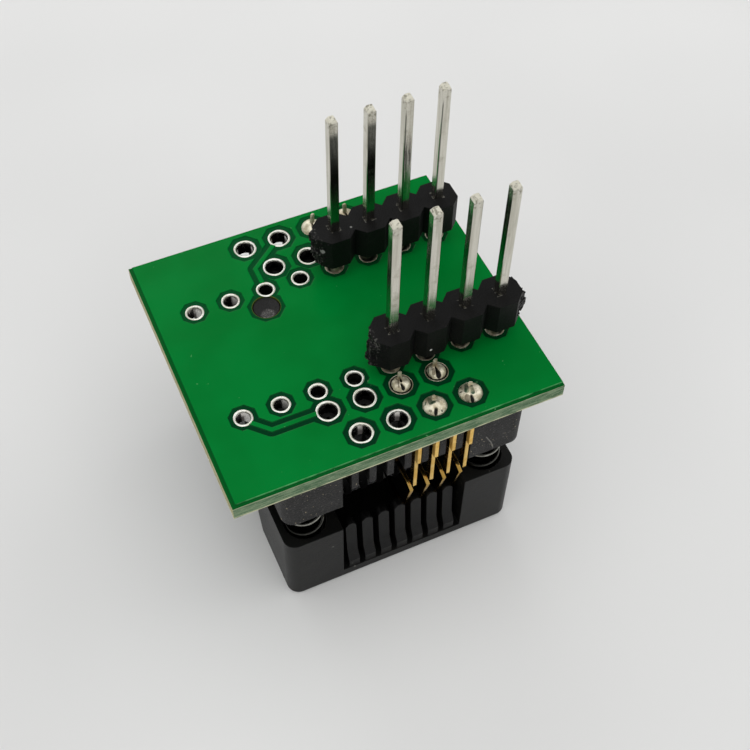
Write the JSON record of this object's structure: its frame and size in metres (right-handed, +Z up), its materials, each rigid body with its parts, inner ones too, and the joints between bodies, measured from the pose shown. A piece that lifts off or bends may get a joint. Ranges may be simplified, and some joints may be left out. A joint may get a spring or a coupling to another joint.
{
  "type": "integrated circuit programming adapter",
  "caption": "Green adapter board carrying an open-top small-outline test socket on one face and two short rows of header pins on the other, resting on the socket's pressing cover.",
  "frame": {"origin": "centre of the outline in plan, on the surface that the socket's cover stands on", "axes": "+X along the board towards the pinned end, +Y across the rows, +Z up towards the header pins"},
  "size_m": [0.0228, 0.0206, 0.0313],
  "materials": {
    "laminate": "green solder mask over glass laminate",
    "tinned_copper": "bright tin over copper",
    "solder": "bright uneven solder",
    "header_plastic": "black moulding, snapped ends",
    "pin_metal": "tin plated",
    "base_plastic": "glass-filled dark grey moulding",
    "cover_plastic": "smooth charcoal moulding",
    "contact_gold": "gold plated copper alloy",
    "spring_steel": "bright spring wire"
  },
  "bodies": {
    "adapter": {"circuit_board": "laminate", "plated_holes": "tinned_copper", "header_solder": "solder", "socket_solder": "solder", "header_strip_front": "header_plastic", "header_strip_back": "header_plastic", "header_pin_1": "pin_metal", "header_pin_2": "pin_metal", "header_pin_3": "pin_metal", "header_pin_4": "pin_metal", "header_pin_5": "pin_metal", "header_pin_6": "pin_metal", "header_pin_7": "pin_metal", "header_pin_8": "pin_metal", "socket_base": "base_plastic", "contact_1": "contact_gold", "contact_2": "contact_gold", "contact_3": "contact_gold", "contact_4": "contact_gold", "contact_5": "contact_gold", "contact_6": "contact_gold", "contact_7": "contact_gold", "contact_8": "contact_gold", "coil_spring_1": "spring_steel", "coil_spring_2": "spring_steel", "coil_spring_3": "spring_steel", "coil_spring_4": "spring_steel"},
    "cover": {"socket_cover": "cover_plastic"}
  },
  "joints": [
    {"name": "cover_press", "type": "slide", "parent": "adapter", "child": "cover", "axis": [0, 0, 1], "range_m": [0, 0.0024], "stiffness_N_per_m": 100, "springref_m": -0.003, "deforming": ["coil_spring_1", "coil_spring_2", "coil_spring_3", "coil_spring_4"]}
  ]
}
